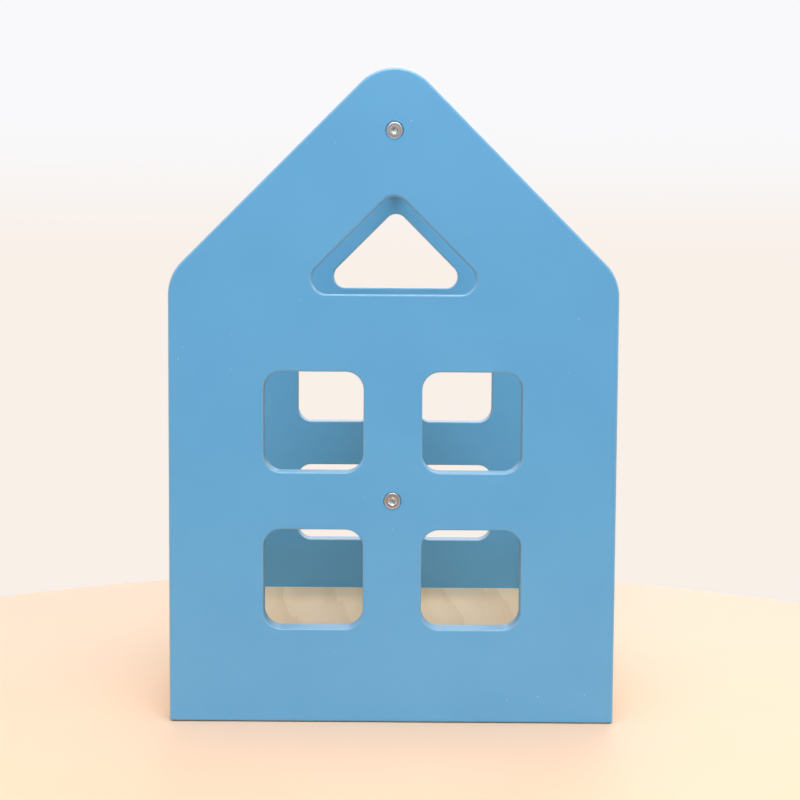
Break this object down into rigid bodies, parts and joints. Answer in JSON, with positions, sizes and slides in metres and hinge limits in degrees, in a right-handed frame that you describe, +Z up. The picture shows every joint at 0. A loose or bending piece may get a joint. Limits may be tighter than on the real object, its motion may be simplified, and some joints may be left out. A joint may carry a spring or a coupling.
{
  "type": "house shaped bookcase",
  "caption": "Tabletop bookcase for children's books: two house shaped gable panels with window openings, joined by a base board, divider, side rails and a ridge rail.",
  "frame": {"origin": "on the ground, under the middle of the bookcase", "axes": "+X to the right across the front gable, +Y from the front gable to the rear gable, +Z up"},
  "size_m": [0.26, 0.34, 0.3798],
  "materials": {
    "blue_paint": "satin sky blue paint on wooden board",
    "bare_wood": "pale wood, matte clear oil",
    "zinc_steel": "zinc plated steel",
    "dowel_wood": "bare beech"
  },
  "bodies": {
    "root": {"front_gable": "blue_paint", "rear_gable": "blue_paint", "base_board": "bare_wood", "centre_divider": "bare_wood", "left_side_rail": "bare_wood", "right_side_rail": "bare_wood", "ridge_rail": "bare_wood", "front_ridge_screw": "zinc_steel", "front_centre_screw": "zinc_steel", "rear_ridge_screw": "zinc_steel", "rear_centre_screw": "zinc_steel", "front_base_dowels": "dowel_wood", "rear_base_dowels": "dowel_wood", "front_divider_dowels": "dowel_wood", "rear_divider_dowels": "dowel_wood", "front_left_rail_dowels": "dowel_wood", "rear_left_rail_dowels": "dowel_wood", "front_right_rail_dowels": "dowel_wood", "rear_right_rail_dowels": "dowel_wood", "front_ridge_dowel": "dowel_wood", "rear_ridge_dowel": "dowel_wood"}
  },
  "joints": []
}
